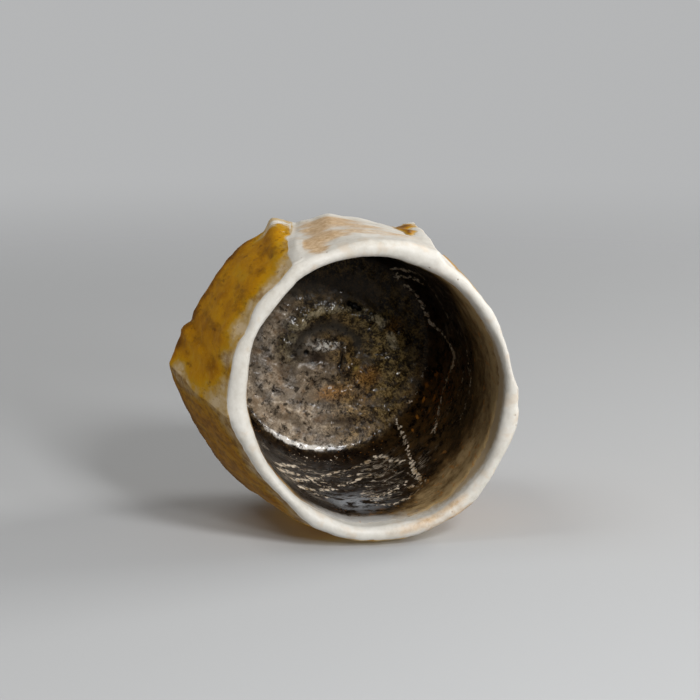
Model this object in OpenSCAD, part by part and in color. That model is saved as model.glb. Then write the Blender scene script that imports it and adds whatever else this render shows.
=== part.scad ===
// A small hand-cut stoneware sake cup: a thick cup with six knife-cut faces, wider at the
// girth than at the lip, standing on a ring foot. White slip covers the outside and the lip,
// amber ash glaze lies on five of the faces, and dark iron glaze lines the well.
// The origin is the middle of the foot on the table, and +Z runs up out of the mouth.

/* [Overall] */
// Height of the cup, from the table to the top of the lip
cup_h = 50; // [44:1:58]
// Mean outer radius of the lip
rim_r = 28; // [26:0.5:30]
// Mean radius at the girth, the edge where the upper and lower cuts meet
girth_r = 31; // [29:0.5:34]
// Mean height of the girth edge above the table
girth_z = 14; // [12:0.5:18]
// Mean radius of the flat underside of the body
base_r = 22.5; // [21:0.5:25]
// How far the six faces swell between their ends
face_swell = 0.4; // [0:0.1:1]
// How much of the sharp girth edge is worn away, measured along each face
edge_wear = 1.1; // [0.5:0.1:2]

/* [Lip and well] */
// Mean thickness of the wall at the lip
lip_t = 2.8; // [2.4:0.1:4]
// Height of the rounded top of the lip
lip_h = 1.6; // [1:0.1:2.5]
// Thickness of clay between the underside and the floor of the well
floor_t = 5.5; // [4:0.5:8]
// Radius of the floor of the well
well_floor_r = 19.5; // [17:0.5:21]
// Radius of the well at the top of the turn from floor to wall
well_wall_r = 23.4; // [22:0.2:24]
// Height of the turn from floor to wall
well_turn_h = 8; // [5:0.5:11]
// Height of the spiral that the hollowing tool left on the floor
spiral_h = 0.4; // [0.1:0.1:0.8]
// Distance from one turn of the spiral to the next
spiral_pitch = 5.6; // [4:0.2:7]
// Height of the knob that the tool left at the middle of the floor
knob_h = 1; // [0.4:0.1:1.6]
// Radius of that knob
knob_r = 2.6; // [2:0.2:3.4]

/* [Foot ring] */
// Height of the foot ring
foot_h = 5; // [4.6:0.2:7]
// Outer radius of the foot ring
foot_r = 18.6; // [16:0.2:20]
// Width of the foot ring where it stands
foot_w = 3.2; // [2.4:0.2:4.4]
// Bevel on both edges of the foot ring
foot_bevel = 0.7; // [0.3:0.1:1]

/* [Slip and glazes] */
// Thickness of the white slip
slip_t = 0.4; // [0.3:0.05:0.6]
// Thickness of the amber glaze, on top of the slip
amber_t = 0.35; // [0.25:0.05:0.5]
// Thickness of the dark glaze
dark_t = 0.4; // [0.3:0.05:0.6]
// Bare clay between the foot ring and the lower edge of the slip
bare_h = 2.2; // [1.4:0.2:3.4]
// How far the white slip runs down into the well
slip_depth = 3.5; // [2.5:0.5:6]
// White band left between the amber glaze and the lip
amber_gap = 2.8; // [1.6:0.2:4]
// White strip left along each side of a ridge
ridge_strip = 1.5; // [1:0.1:2.2]

/* [Hidden] */

// The six ridges, anticlockwise from above: where each one stands at the girth and at the lip.
ridge_girth_az = [47, 109, 166, 221, 282, 339];
ridge_rim_az = [55, 113, 168, 223, 291, 346];
ridge_n = len(ridge_girth_az);

// Shares of the mean sizes, at each ridge and at the middle of the face that follows it.
ridge_rim_shares = [1.02, 1.035, 1.075, 1.02, 1.01, 1.01];
face_rim_shares = [0.96, 1.065, 1.055, 0.95, 0.995, 0.985];
ridge_girth_shares = [1.08, 1.035, 1, 1.06, 1.01, 1.015];
face_girth_shares = [1, 0.965, 0.965, 0.925, 0.905, 0.945];
ridge_height_shares = [0.98, 1.06, 0.92, 1, 1.1, 1.02];
face_height_shares = [1.08, 0.95, 1.04, 0.96, 1.12, 1.06];
ridge_base_shares = [1.03, 1.02, 1.04, 1.02, 1.03, 1.02];
face_base_shares = [0.98, 0.97, 0.98, 0.97, 0.96, 0.98];

// The faces that carry amber glaze. The fifth face shows bare slip.
amber_faces = [0, 1, 2, 3, 5];

// The mouth is a little oval: the share that its radius gains and loses, and its long direction.
oval_share = 0.04;
oval_az = 343;
// How fast each face rises to its ridges: 2 is a flat face, and more is a round one with pinched ridges.
face_powers = [2.6, 2.6, 2.6, 7, 8, 2.6];

// Rows of the skin along the wall, the lip and the floor.
upper_rows = 5;
lip_rows = 6;
wall_rows = 4;
turn_rows = 4;
floor_rows = 16;
// Places across half a face, past the strip beside its ridge.
near_shares = [0.1, 0.2, 0.35, 0.5];

lip_z = cup_h - lip_h;
floor_z = foot_h + floor_t;
mouth_r = rim_r - lip_t;
amber_top_z = lip_z - amber_gap;
slip_end_z = lip_z - slip_depth;
ridge_share = ridge_strip * ridge_n / (2 * PI * girth_r);

// Places across a face, from its ridge at 0 to the next at 1, with a narrow strip at each ridge.
far_shares = [for (i = [len(near_shares) - 2:-1:0]) 1 - near_shares[i]];
face_shares = concat([0, ridge_share], near_shares, far_shares, [1 - ridge_share]);
strips = len(face_shares);
columns = ridge_n * strips;

function mix(a, b, share) = a + (b - a) * share;
function unit(v) = v / norm(v);
function wrap(i) = i % ridge_n;

// A value round the cup, from its shares at the ridges and at the middles of the faces.
function round_cup(ridges, faces, face, t) =
    let(near = t < 1 / 2 ? ridges[face] : ridges[wrap(face + 1)])
    mix(faces[face], near, pow(abs(2 * t - 1), face_powers[face]));

// The direction of a place on a face: the ridges lean, so it turns between girth and lip.
function ridge_az(list, i) = list[wrap(i)] + (i >= ridge_n ? 360 : 0);
function face_az(list, face, t) = mix(ridge_az(list, face), ridge_az(list, face + 1), t);

// The floor of the well: a spiral groove that fades to the edge, and a knob in the middle.
function floor_height(r, az) =
    let(fade = 1 - pow(r / well_floor_r, 2))
    floor_z
    + spiral_h * fade * sin(360 * r / spiral_pitch - az)
    + knob_h * exp(-pow(r / knob_r, 2));

// One line from the underside's edge up the outside, over the lip and down to the floor.
// Each point is [radius, height, lean], where lean is 0 at the girth's directions and 1 at the lip's.
function cup_line(face, t) =
    let(
        base = [base_r * round_cup(ridge_base_shares, face_base_shares, face, t), foot_h],
        girth = [
            girth_r * round_cup(ridge_girth_shares, face_girth_shares, face, t),
            foot_h + (girth_z - foot_h) * round_cup(ridge_height_shares, face_height_shares, face, t)
        ],
        rim = [rim_r * round_cup(ridge_rim_shares, face_rim_shares, face, t), lip_z],
        az = face_az(ridge_rim_az, face, t),
        mouth = mouth_r * (1 + oval_share * cos(2 * (az - oval_az))),
        low = girth + edge_wear * unit(base - girth),
        high = girth + edge_wear * unit(rim - girth),
        worn = (low + 2 * girth + high) / 4,
        line_share = bare_h / (low[1] - foot_h),
        amber_share = (amber_top_z - high[1]) / (lip_z - high[1]),
        lip_mid = (rim[0] + mouth) / 2,
        lip_half = (rim[0] - mouth) / 2
    )
    concat(
        [for (s = [0, line_share, (1 + line_share) / 2, 1])
            concat(mix(base, low, s), 0)],
        [concat(worn, 0)],
        [for (i = [0:upper_rows])
            let(s = amber_share * i / upper_rows)
            concat(mix(high, rim, s) + [face_swell * sin(180 * s), 0], s)],
        [for (i = [0:lip_rows])
            let(a = 180 * i / lip_rows)
            [lip_mid + lip_half * cos(a), lip_z + lip_h * sin(a), 1]],
        [for (i = [0:wall_rows - 1])
            let(
                z = mix(slip_end_z, floor_z + well_turn_h, i / wall_rows),
                s = (lip_z - z) / (lip_z - floor_z - well_turn_h)
            )
            [mix(mouth, well_wall_r, s), z, 1]],
        [for (i = [0:turn_rows])
            let(a = 90 * i / turn_rows)
            [
                well_floor_r + (well_wall_r - well_floor_r) * cos(a),
                floor_z + well_turn_h * (1 - sin(a)),
                1
            ]],
        [for (i = [1:floor_rows - 1])
            let(r = well_floor_r * (1 - i / floor_rows))
            [r, floor_height(r, az), 1]]
    );

slip_row = 1;
amber_row = 5 + upper_rows;
slip_end_row = amber_row + lip_rows + 2;
last_row = slip_end_row + wall_rows + turn_rows + floor_rows - 1;

cup_lines = [for (face = [0:ridge_n - 1]) for (t = face_shares) cup_line(face, t)];

// The way out of the surface at a row of a line, square to the line.
function way_out(line, k) =
    let(
        last = len(line) - 1,
        ahead = k == last ? [0, line[k][1]] : [line[k + 1][0], line[k + 1][1]],
        behind = k == 0 ? [line[k][0], line[k][1]] : [line[k - 1][0], line[k - 1][1]],
        along = unit(ahead - behind)
    )
    [along[1], -along[0]];

// The point in space on column c and row k, raised off the clay by lift.
function cup_point(c, k, lift) =
    let(
        line = cup_lines[c % columns],
        face = floor((c % columns) / strips),
        t = face_shares[c % strips],
        az = mix(face_az(ridge_girth_az, face, t), face_az(ridge_rim_az, face, t), line[k][2]),
        out = lift == 0 ? [0, 0] : way_out(line, k) * lift,
        r = line[k][0] + out[0]
    )
    [r * cos(az), r * sin(az), line[k][1] + out[1]];

function cup_grid(rows, cols, lift) = [for (k = rows) for (c = cols) cup_point(c, k, lift)];
function floor_middle(lift) = [0, 0, floor_height(0, 0) + lift];

// Triangles over a grid of rows and columns. Its outer side faces out, or in when turned.
function grid_faces(row_n, col_n, first, turned, around) = [
    for (k = [0:row_n - 2])
        for (c = [0:(around ? col_n - 1 : col_n - 2)])
            let(
                a = first + k * col_n + c,
                b = first + k * col_n + (c + 1) % col_n,
                up_a = a + col_n,
                up_b = b + col_n
            )
            each turned ? [[a, b, up_b], [a, up_b, up_a]] : [[a, up_a, up_b], [a, up_b, b]]
];
// Triangles that join two lists of points that run side by side.
function join_faces(one, other) = [
    for (i = [0:len(one) - 2])
        each [[one[i], one[i + 1], other[i + 1]], [one[i], other[i + 1], other[i]]]
];
// Triangles from a list of points to one point.
function fan_faces(edge, tip) = [for (i = [0:len(edge) - 2]) [edge[i], edge[i + 1], tip]];

function ring(first) = [for (c = [0:columns]) first + c % columns];
function reverse(list) = [for (i = [len(list) - 1:-1:0]) list[i]];

// A coat that goes all the way round, from one row to another, between two heights off the clay.
module round_coat(low_row, high_row, under, over) {
    rows = [low_row:high_row];
    row_n = high_row - low_row + 1;
    size = row_n * columns;
    points = concat(cup_grid(rows, [0:columns - 1], over), cup_grid(rows, [0:columns - 1], under));
    last = (row_n - 1) * columns;
    faces = concat(
        grid_faces(row_n, columns, 0, false, true),
        grid_faces(row_n, columns, size, true, true),
        join_faces(ring(0), ring(size)),
        join_faces(reverse(ring(last)), reverse(ring(size + last)))
    );
    polyhedron(points = points, faces = faces);
}

// A coat on one face only, which leaves a strip bare along both ridges.
module face_coat(face, low_row, high_row, under, over) {
    rows = [low_row:high_row];
    row_n = high_row - low_row + 1;
    cols = [face * strips + 1:(face + 1) * strips - 1];
    col_n = strips - 1;
    size = row_n * col_n;
    points = concat(cup_grid(rows, cols, over), cup_grid(rows, cols, under));
    low = [for (c = [0:col_n - 1]) c];
    high = [for (c = [col_n - 1:-1:0]) (row_n - 1) * col_n + c];
    left = [for (k = [row_n - 1:-1:0]) k * col_n];
    right = [for (k = [0:row_n - 1]) (k + 1) * col_n - 1];
    faces = concat(
        grid_faces(row_n, col_n, 0, false, false),
        grid_faces(row_n, col_n, size, true, false),
        [for (edge = [low, high, left, right])
            each join_faces(edge, [for (i = edge) i + size])]
    );
    polyhedron(points = points, faces = faces);
}

// The cut and hollowed clay: a flat underside, six faces, the lip and the well.
module clay_body() {
    rows = [0:last_row];
    size = (last_row + 1) * columns;
    points = concat(
        cup_grid(rows, [0:columns - 1], 0),
        [[0, 0, foot_h]],
        [floor_middle(0)]
    );
    faces = concat(
        grid_faces(last_row + 1, columns, 0, false, true),
        fan_faces(ring(0), size),
        fan_faces(reverse(ring(last_row * columns)), size + 1)
    );
    color([0.42, 0.31, 0.22]) polyhedron(points = points, faces = faces);
}

// A ring of clay luted to the underside, bevelled where it stands.
module foot_ring() {
    inner_r = foot_r - foot_w;
    color([0.46, 0.34, 0.24])
        rotate_extrude($fn = 96)
            polygon([
                [inner_r + foot_bevel, 0],
                [foot_r - foot_bevel, 0],
                [foot_r, foot_bevel],
                [foot_r, foot_h],
                [inner_r, foot_h],
                [inner_r, foot_bevel]
            ]);
}

// White slip on the outside, over the lip and a little way into the well.
module white_slip() {
    color([0.88, 0.86, 0.82])
        round_coat(slip_row, slip_end_row, 0, slip_t);
}

// Amber ash glaze, one pool on each of five faces.
module amber_glaze() {
    color([0.6, 0.4, 0.1])
        for (face = amber_faces)
            face_coat(face, slip_row + 1, amber_row, slip_t, slip_t + amber_t);
}

// Dark iron glaze on the wall and the floor of the well.
module dark_glaze() {
    rows = [slip_end_row:last_row];
    row_n = last_row - slip_end_row + 1;
    size = row_n * columns;
    last = (row_n - 1) * columns;
    points = concat(
        cup_grid(rows, [0:columns - 1], dark_t),
        cup_grid(rows, [0:columns - 1], 0),
        [floor_middle(dark_t)],
        [floor_middle(0)]
    );
    faces = concat(
        grid_faces(row_n, columns, 0, false, true),
        grid_faces(row_n, columns, size, true, true),
        join_faces(ring(0), ring(size)),
        fan_faces(reverse(ring(last)), 2 * size),
        fan_faces(ring(size + last), 2 * size + 1)
    );
    color([0.16, 0.13, 0.1]) polyhedron(points = points, faces = faces);
}

clay_body();
foot_ring();
white_slip();
amber_glaze();
dark_glaze();
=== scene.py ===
import bmesh
import bpy
import numpy as np
from mathutils import Matrix, Vector


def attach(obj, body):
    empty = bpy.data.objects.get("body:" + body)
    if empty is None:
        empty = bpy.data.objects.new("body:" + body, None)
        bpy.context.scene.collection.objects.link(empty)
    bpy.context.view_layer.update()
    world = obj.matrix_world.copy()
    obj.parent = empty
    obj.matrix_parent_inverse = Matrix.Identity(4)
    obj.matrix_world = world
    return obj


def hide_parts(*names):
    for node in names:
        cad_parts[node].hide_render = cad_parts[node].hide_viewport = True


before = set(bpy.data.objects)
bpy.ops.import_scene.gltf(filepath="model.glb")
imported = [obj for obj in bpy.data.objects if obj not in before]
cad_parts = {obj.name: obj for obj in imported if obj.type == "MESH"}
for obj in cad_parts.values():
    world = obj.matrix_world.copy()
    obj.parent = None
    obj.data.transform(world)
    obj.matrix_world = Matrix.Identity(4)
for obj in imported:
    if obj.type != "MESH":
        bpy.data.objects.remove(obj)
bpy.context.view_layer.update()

# The camera looks into the mouth of the cup, which lies on its side, from 450 mm away with a long lens.
# Row axes are turned by 135 degrees about the cup, and the cup's axis leans 17 degrees off the camera's.
mm = 0.001
frame_px = 700
film_mm = 36
focal_px = 2403.0
away = 450.0
lip_top = 50
heading = Matrix.Rotation(np.radians(135), 3, "Z")
lean_way = Vector((np.cos(np.radians(-38)), np.sin(np.radians(-38)), 0))
lean = Matrix.Rotation(np.radians(17), 3, Vector((0, 0, 1)).cross(lean_way))
to_camera = lean @ heading
from_camera = to_camera.transposed()
mouth_at = Vector((26.5 / focal_px * away, -39.0 / focal_px * away, -away))
shift_to = mouth_at - lean @ Vector((0, 0, lip_top))


def add(name, data):
    """Adds an object with that data to the scene."""
    made = bpy.data.objects.new(name, data)
    bpy.context.scene.collection.objects.link(made)
    return made


camera = add("camera", bpy.data.cameras.new("camera"))
camera.matrix_world = Matrix.Translation(from_camera @ -shift_to * mm) @ from_camera.to_4x4()
camera.data.sensor_width = film_mm
camera.data.lens = focal_px * film_mm / frame_px
camera.data.clip_start = 0.01
camera.data.clip_end = 20
bpy.context.scene.camera = camera
bpy.context.scene.view_settings.view_transform = "Standard"


# The clay body is a thrown stoneware cup with a thick wall, cut with a knife into six uneven faces. The ridges
# between the faces lean, and each ends in a pinched nub at the widest place, the girth. Below it the wall
# runs in to the foot. Its bare clay shows only in a band above the foot and under the cup.
ridges = 6
face_columns = 64
columns = ridges * face_columns
foot_h = 5.0
lip_z = 48.4
lip_h = 1.6
mouth_r = 25.2
wall_r = 23.4
floor_r = 19.5
floor_z = 10.5
turn_h = 8.0
ridge_wear = 0.012

# Columns of points run round the cup, closer together at the ridges. rise is 1 on a ridge, where its wear rounds it,
# and falls evenly to 0 half way to the next one. Its power says how long a face stays flat before it turns up.
place = np.arange(columns) / face_columns
face = place.astype(int)
flat_t = place - face
t = flat_t - 0.08 * np.sin(2 * np.pi * flat_t)
to_ridge = np.minimum(t, 1 - t)
rise = 1 - 2 * (np.sqrt(to_ridge ** 2 + ridge_wear ** 2) - ridge_wear)
face_power = np.array([2.6, 2.6, 2.6, 7, 8, 2.6])[face]


def mix(a, b, share):
    """The value at a share of the way from a to b."""
    return a + (b - a) * share


def smooth(x, a, b):
    """0 up to a, 1 from b on, and between them three s squared less two s cubed, where s is the share of the way."""
    s = np.clip((x - a) / (b - a), 0, 1)
    return s * s * (3 - 2 * s)


def bell(x, middle, half_width):
    """The bell curve: e to the minus square of how many half widths x is from the middle."""
    return np.exp(-((x - middle) / half_width) ** 2)


def turn_off(az, middle):
    """Degrees from the middle direction to another one, the short way round, from -180 to 180."""
    return (az - middle + 180) % 360 - 180


def waves(points, size, seed, count=22):
    """Smooth random unevenness of about that wavelength: a sum of sine waves in random directions, near -1 to 1."""
    rng = np.random.default_rng(seed)
    way = rng.normal(size=(count, points.shape[-1]))
    way *= (rng.uniform(0.7, 1.5, count) / np.linalg.norm(way, axis=1))[:, None]
    start = rng.uniform(0, 2 * np.pi, count)
    return np.sin(points @ (way.T * 2 * np.pi / size) + start).sum(-1) / np.sqrt(count / 2) * 0.6


def across(at_ridges, at_faces):
    """A value round the cup: the face's own value, rising to its two ridges as a power of the way from its middle."""
    at_ridges, at_faces = np.array(at_ridges), np.array(at_faces)
    near = np.where(t < 0.5, at_ridges[face], at_ridges[(face + 1) % ridges])
    return mix(at_faces[face], near, rise ** face_power)


def direction(at_ridges):
    """The direction of each column, in degrees: evenly from one ridge's direction to the next one's."""
    at_ridges = np.array(at_ridges)
    after = at_ridges[(face + 1) % ridges] + np.where(face == ridges - 1, 360, 0)
    return mix(at_ridges[face], after, t)


# The girth's and the lip's lines, with the direction of each ridge, its reach and that of the faces between.
girth_az = direction([47, 109, 166, 221, 284, 334.5])
rim_az = direction([55, 113, 168, 223, 291, 349])
ring = np.stack([np.cos(np.radians(girth_az)), np.sin(np.radians(girth_az))], -1) * 30
edge_wander = waves(ring, 9, 3) * 0.06 + waves(ring, 3.2, 4) * 0.02
girth_r = 31 * across([1.08, 1.035, 1, 1.06, 0.985, 0.935], [1, 0.965, 0.965, 0.925, 0.905, 0.945])
girth_z = foot_h + 9 * across([0.98, 1.06, 0.92, 1, 1.0, 1.02], [1.08, 0.95, 1.04, 0.96, 1.12, 1.06])
# Nubs and the notches beside them, each with its direction, half width in degrees, and millimetres out and up.
nubs = [(340.6, 4.0, 2.0, 0.3), (333.4, 2.2, -0.5, 0.1), (286.4, 2.6, 1.0, 0.3), (320, 4.5, 0.7, 0.2),
        (34.5, 1.6, 0.6, 0.3), (30.5, 1.6, -0.4, 0)]
for nub_az, wide, outward, up in nubs:
    bump = bell(turn_off(girth_az, nub_az), 0, wide)
    girth_r = girth_r + bump * outward
    girth_z = girth_z + bump * up
girth_r = girth_r + edge_wander
girth_z = girth_z + waves(ring, 7, 5) * 0.3
base_r = 22.5 * across([1.03, 1.02, 1.04, 1.02, 1.03, 1.02], [0.98, 0.97, 0.98, 0.97, 0.96, 0.98])
rim_r = 28 * across([1.02, 1.035, 1.075, 1.02, 1.01, 1.01], [0.96, 1.065, 1.055, 0.95, 0.995, 0.985])
rim_r = rim_r + waves(ring, 14, 6) * 0.22 + 0.5 * bell(turn_off(rim_az, 178), 0, 9)
mouth = mouth_r * (1 + 0.04 * np.cos(2 * np.radians(rim_az - 343))) + waves(ring, 17, 7) * 0.2
mouth = mouth + 0.25 + 1.0 * np.cos(np.radians(rim_az - 165)) - 0.35 * bell(turn_off(rim_az, 315), 0, 30)


def line_of(r, z):
    """A radius and a height at every point of a line, or of rows of lines."""
    return np.stack(np.broadcast_arrays(r, z), -1)


def shorter(a, b, length):
    """The point at a length from a towards b."""
    way = b - a
    return a + way * (length / np.linalg.norm(way, axis=-1))[..., None]


base = line_of(base_r, foot_h)
girth = line_of(girth_r, girth_z)
rim = line_of(rim_r, lip_z)
low = shorter(girth, base, 0.95)
high = shorter(girth, rim, 0.95)


def outline():
    """The cup's line at every column: straight up to the girth, a worn bend, the swelling wall, a half ellipse for the
    lip, the well's wall, a quarter ellipse and the floor. Gives radius, height and how far the ridges have leaned."""
    s_low, s_bend, s_up = np.linspace(0, 1, 22), np.linspace(0, 1, 10)[1:-1], np.linspace(0, 1, 66)
    a_lip, s_wall = np.linspace(0, np.pi, 28)[1:], np.linspace(0, 1, 64)[1:]
    a_turn, s_floor = np.linspace(0, np.pi / 2, 20)[1:], np.linspace(0, 1, 71)[1:]
    lower = mix(base, low, s_low[:, None, None])
    b = s_bend[:, None, None]
    bend = low * (1 - b) ** 2 + 2 * girth * b * (1 - b) + high * b ** 2
    upper = mix(high, rim, s_up[:, None, None])
    upper[..., 0] += 0.4 * np.sin(np.pi * s_up)[:, None]
    mid, half = (rim_r + mouth) / 2, (rim_r - mouth) / 2
    lip = line_of(mid + half * np.cos(a_lip)[:, None], lip_z + lip_h * np.sin(a_lip)[:, None])
    wall = line_of(mix(mouth, wall_r, s_wall[:, None]), mix(lip_z, floor_z + turn_h, s_wall[:, None]))
    turn = line_of(floor_r + (wall_r - floor_r) * np.cos(a_turn)[:, None] + 0 * mouth,
                   floor_z + turn_h * (1 - np.sin(a_turn))[:, None])
    floor = line_of(floor_r * (1 - s_floor)[:, None] + 0 * mouth, floor_z)
    parts = [lower, bend, upper, lip, wall, turn, floor]
    leans = [0 * s_low, 0 * s_bend, s_up, 1 + 0 * a_lip, 1 + 0 * s_wall, 1 + 0 * a_turn, 1 + 0 * s_floor]
    ends = np.cumsum([0] + [len(p) for p in parts])
    return np.concatenate(parts), np.concatenate(leans), ends


line, leaned, ends = outline()
first = dict(zip(["lower", "bend", "upper", "lip", "wall", "turn", "floor"], ends))
row = np.arange(len(line))
az = mix(girth_az, rim_az, leaned[:, None])


def toward(at, wide):
    """1 in a direction, falling off as the bell curve over a width in degrees."""
    return bell(turn_off(az, at), 0, wide)


radius, height = line[..., 0], line[..., 1]
outside = (row < first["lip"])[:, None]

# How the floor is shaped: the spiral left by the potter's finger, with a crater-like knob in its middle, and pits.
# floor_x and floor_y run as the camera sees them, to its right and up.
floor_x = radius * np.cos(np.radians(az - 225))
floor_y = radius * np.cos(np.radians(az - 315))
flat = np.stack([floor_x, floor_y], -1)
on_floor = row >= first["turn"]
fade = np.clip(1 - (radius / floor_r) ** 2, 0, 1)


def spot(x, y, wide, tall):
    """A round bell curve on the floor: 1 at a place, falling off over its width and height."""
    return bell(np.hypot((floor_x - x) / wide, (floor_y - y) / tall), 0, 1)


off_knob = np.hypot((floor_x + 0.3) / 1.25, floor_y + 0.1)
seen_turn = np.degrees(np.arctan2(floor_y, floor_x))
off_spiral = off_knob + turn_off(seen_turn, 90) * 0.0267 + waves(flat, 4, 16) * 0.4
upper_half = smooth(np.abs(turn_off(seen_turn, 95)), 120, 80)
groove = bell(off_knob + waves(flat, 5, 21) * 0.25, 5.2, 1.55) * upper_half
smooth_top = np.clip(spot(-3, 13.5, 9, 2.6) + spot(7, 12, 6, 3), 0, 1)
bowl = spot(-2.9, -1.3, 3.0, 1.9)
crack = bell(floor_x, 2.4 + 0.12 * floor_y + waves(flat, 2.5, 19) * 0.25, 0.42) * bell(floor_y, -1.8, 2.8)
crest = spot(-1.6, 1.4, 3.6, 1.2)
# The turned lines are a sine wave of the radius that moves out by one wave in a turn.
turned = np.sin(np.radians(360 * radius / 5.4 - az) + waves(flat, 7, 29) * 0.7)
turned = turned * (1 - upper_half * smooth(radius, 12, 9)) * smooth(off_knob, 3.5, 6)
# The knob is a round hill, drawn out towards the lower left.
hill = off_knob * mix(0.55, 1.0, smooth(floor_y + 0.35 * floor_x, -2.5, 1.5)) + waves(flat, 3.2, 15) * 0.35
floor_rise = 0.2 * fade * turned
floor_rise += 1.15 * smooth(hill, 4.5, 2.4)
floor_rise += (0.6 * bell(off_spiral, 8.7, 1.5) * upper_half - 0.45 * groove - 0.3 * spot(3, -14.6, 5, 1.3)
               - 0.8 * bowl - 0.7 * crack)
# Grit is fine unevenness all over but in the smooth places, and the sparkly places are the roughest.
grit = np.clip(1 - 0.9 * groove - 0.7 * smooth_top - 0.5 * bowl, 0.05, 1) * (0.75 + 0.35 * waves(flat, 5, 14))
floor_rise += (waves(flat, 2.4, 11) * 0.075 + waves(flat, 1.2, 12) * 0.065 + waves(flat, 0.65, 13) * 0.04) * grit
floor_rise += 0.6 * spot(-1.4, 0.3, 4.0, 1.35)
sparkly = crest + 0.8 * spot(0.8, -8.4, 2.4, 1.6) + 0.5 * bell(off_spiral, 8.7, 1.3) * upper_half
sparkly = np.clip(sparkly + 0.7 * spot(11.5, -12, 3, 2.6) + 0.5 * spot(15.0, -7, 1.6, 3), 0, 1)
floor_rise += (waves(flat, 1.5, 17) * 0.13 + waves(flat, 0.8, 18) * 0.085 + waves(flat, 0.5, 28) * 0.03) * sparkly
# Pits, each with its direction, its way from the middle, its half width and its depth. Some are burst bubbles.
pits = [(292.5, 10.4, 0.8, 1.1), (286.2, 10.4, 1.0, 1.3), (280, 10.4, 0.8, 1.1), (268.4, 11.3, 0.45, 0.4),
        (264, 11.9, 0.4, 0.4), (255.5, 9.6, 0.45, 0.35), (80, 14, 0.45, 0.45), (74.7, 17.4, 0.4, 0.3),
        (29.4, 9.3, 0.5, 0.3), (24, 8.2, 0.5, 0.3), (36, 10.0, 0.4, 0.3), (45, 5.0, 0.7, 0.6), (190, 6.0, 0.4, 0.3)]
# This mask marks where the pits and the crack are painted dark as shade.
pit_shade = 0 * az
for pit_az, pit_r, pit_wide, pit_deep in pits:
    far = np.hypot(floor_x - pit_r * np.cos(np.radians(pit_az - 225)),
                   floor_y - pit_r * np.cos(np.radians(pit_az - 315)))
    floor_rise -= pit_deep * bell(far, 0, pit_wide)
    pit_shade = np.maximum(pit_shade, bell(far, 0, pit_wide * 0.85) * np.minimum(pit_deep * 1.8, 1))
pit_shade = np.maximum(pit_shade, 0.55 * crack)
height = height + np.where(on_floor[:, None], floor_rise * smooth(radius, 22.4, 19.0), 0)


def space(radius, az, height):
    """Points in space: the radius times the direction's cosine and sine, and the height."""
    x, y = radius * np.cos(np.radians(az)), radius * np.sin(np.radians(az))
    return np.stack(np.broadcast_arrays(x, y, height), -1)


def ways_out(points):
    """The way square out of a surface given as rows and columns: the cross product of the ways along and up."""
    along = np.roll(points, -1, 1) - np.roll(points, 1, 1)
    up = np.gradient(points, axis=0)
    out = np.cross(along, up)
    length = np.linalg.norm(out, axis=-1, keepdims=True)
    return np.where(length > 1e-9, out / np.maximum(length, 1e-9), np.array([0, 0, 1.0]))


skin = space(radius, az, height)
out = ways_out(skin)
# in_well is the way along the surface from the middle of the floor, and ridge_mm the way round to the nearest ridge.
steps = np.linalg.norm(np.diff(skin, axis=0), axis=-1)
way_up = np.concatenate([np.zeros((1, columns)), np.cumsum(steps, 0)])
in_well = way_up[-1] - way_up
ridge_mm = to_ridge * np.radians(60) * radius
# Hand-made unevenness: broad dents and knife chatter outside, soft throwing rings inside.
uneven = (waves(skin, 13, 21) * 0.16 + waves(skin * [1, 1, 0.5], 4.2, 22) * 0.05
          + waves(skin * [1, 1, 0.6], 1.7, 23) * 0.025)
chatter = waves(np.stack([az * 0.5, height * 0.35], -1), 3.4, 24) * 0.03 * smooth(ridge_mm, 0.5, 3)
rings = 0.05 * np.sin(2 * np.pi * (in_well / 5.2 + az / 360))
well_share = smooth(row, first["lip"] + 18, first["wall"] + 6)[:, None]
floor_share = smooth(row, first["turn"] + 4, first["floor"] + 4)[:, None]
lift = mix(uneven + chatter, (uneven * 0.5 + rings) * (1 - floor_share), well_share)
lift *= smooth(row, 0, 4)[:, None]
skin = skin + out * lift[..., None]
out = ways_out(skin)
z_mm = skin[..., 2]


def closed_piece(name, vertices, faces, marks=()):
    """A smooth mesh from vertices in millimetres and faces, with a number at each vertex under each mark's name."""
    mesh = bpy.data.meshes.new(name)
    mesh.from_pydata((vertices.reshape(-1, 3) * mm).tolist(), [], faces.tolist())
    mesh.polygons.foreach_set("use_smooth", np.ones(len(mesh.polygons), bool))
    for mark, values in marks:
        mesh.attributes.new(mark, "FLOAT", "POINT").data.foreach_set("value", values.astype(np.float32))
    mesh.validate()
    return add(name, mesh)


def band(first_row, row_n, turned=False):
    """Four-sided faces between rows of points that go round, from one row to the next."""
    k = np.arange(row_n - 1)[:, None]
    c = np.arange(columns)
    a = first_row * columns + k * columns + c
    b = first_row * columns + k * columns + (c + 1) % columns
    quads = np.stack([a, b, b + columns, a + columns], -1).reshape(-1, 4)
    return quads[:, ::-1] if turned else quads


def close_points(piece, *rings_at):
    """Merges each ring of points that lie together, so that the mesh closes in one point there."""
    bm = bmesh.new()
    bm.from_mesh(piece.data)
    bm.verts.ensure_lookup_table()
    at = [bm.verts[i] for start in rings_at for i in range(start, start + columns)]
    bmesh.ops.remove_doubles(bm, verts=at, dist=1e-7)
    bm.to_mesh(piece.data)
    bm.free()


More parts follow.
